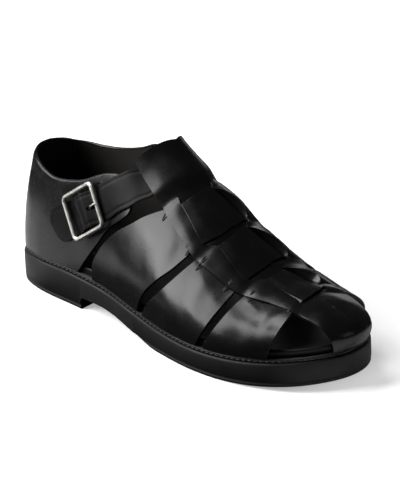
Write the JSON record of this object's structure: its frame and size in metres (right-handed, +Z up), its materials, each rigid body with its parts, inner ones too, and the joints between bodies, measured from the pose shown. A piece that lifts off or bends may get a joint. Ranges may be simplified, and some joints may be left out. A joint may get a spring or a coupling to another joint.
{
  "type": "fisherman sandal",
  "caption": "Closed-heel woven leather sandal for the right foot, with toe openings, side gaps, a buckled ankle strap and a one-piece rubber sole.",
  "frame": {"origin": "on the floor under the middle of the sandal's bounding box", "axes": "+X from heel to toe, -Y towards the outer side with the buckle, +Z up"},
  "size_m": [0.3024, 0.1018, 0.1238],
  "materials": {
    "sole_rubber": "matt moulded black",
    "welt_black": "matt black",
    "lining_leather": "smooth black, satin",
    "black_leather": "polished smooth black",
    "silver_metal": "polished silver"
  },
  "bodies": {
    "root": {"outsole": "sole_rubber", "welt": "welt_black", "insole": "lining_leather", "upper": "black_leather", "quarter": "black_leather", "ankle_strap": "black_leather", "buckle_frame": "silver_metal", "buckle_prong": "silver_metal"}
  },
  "joints": []
}
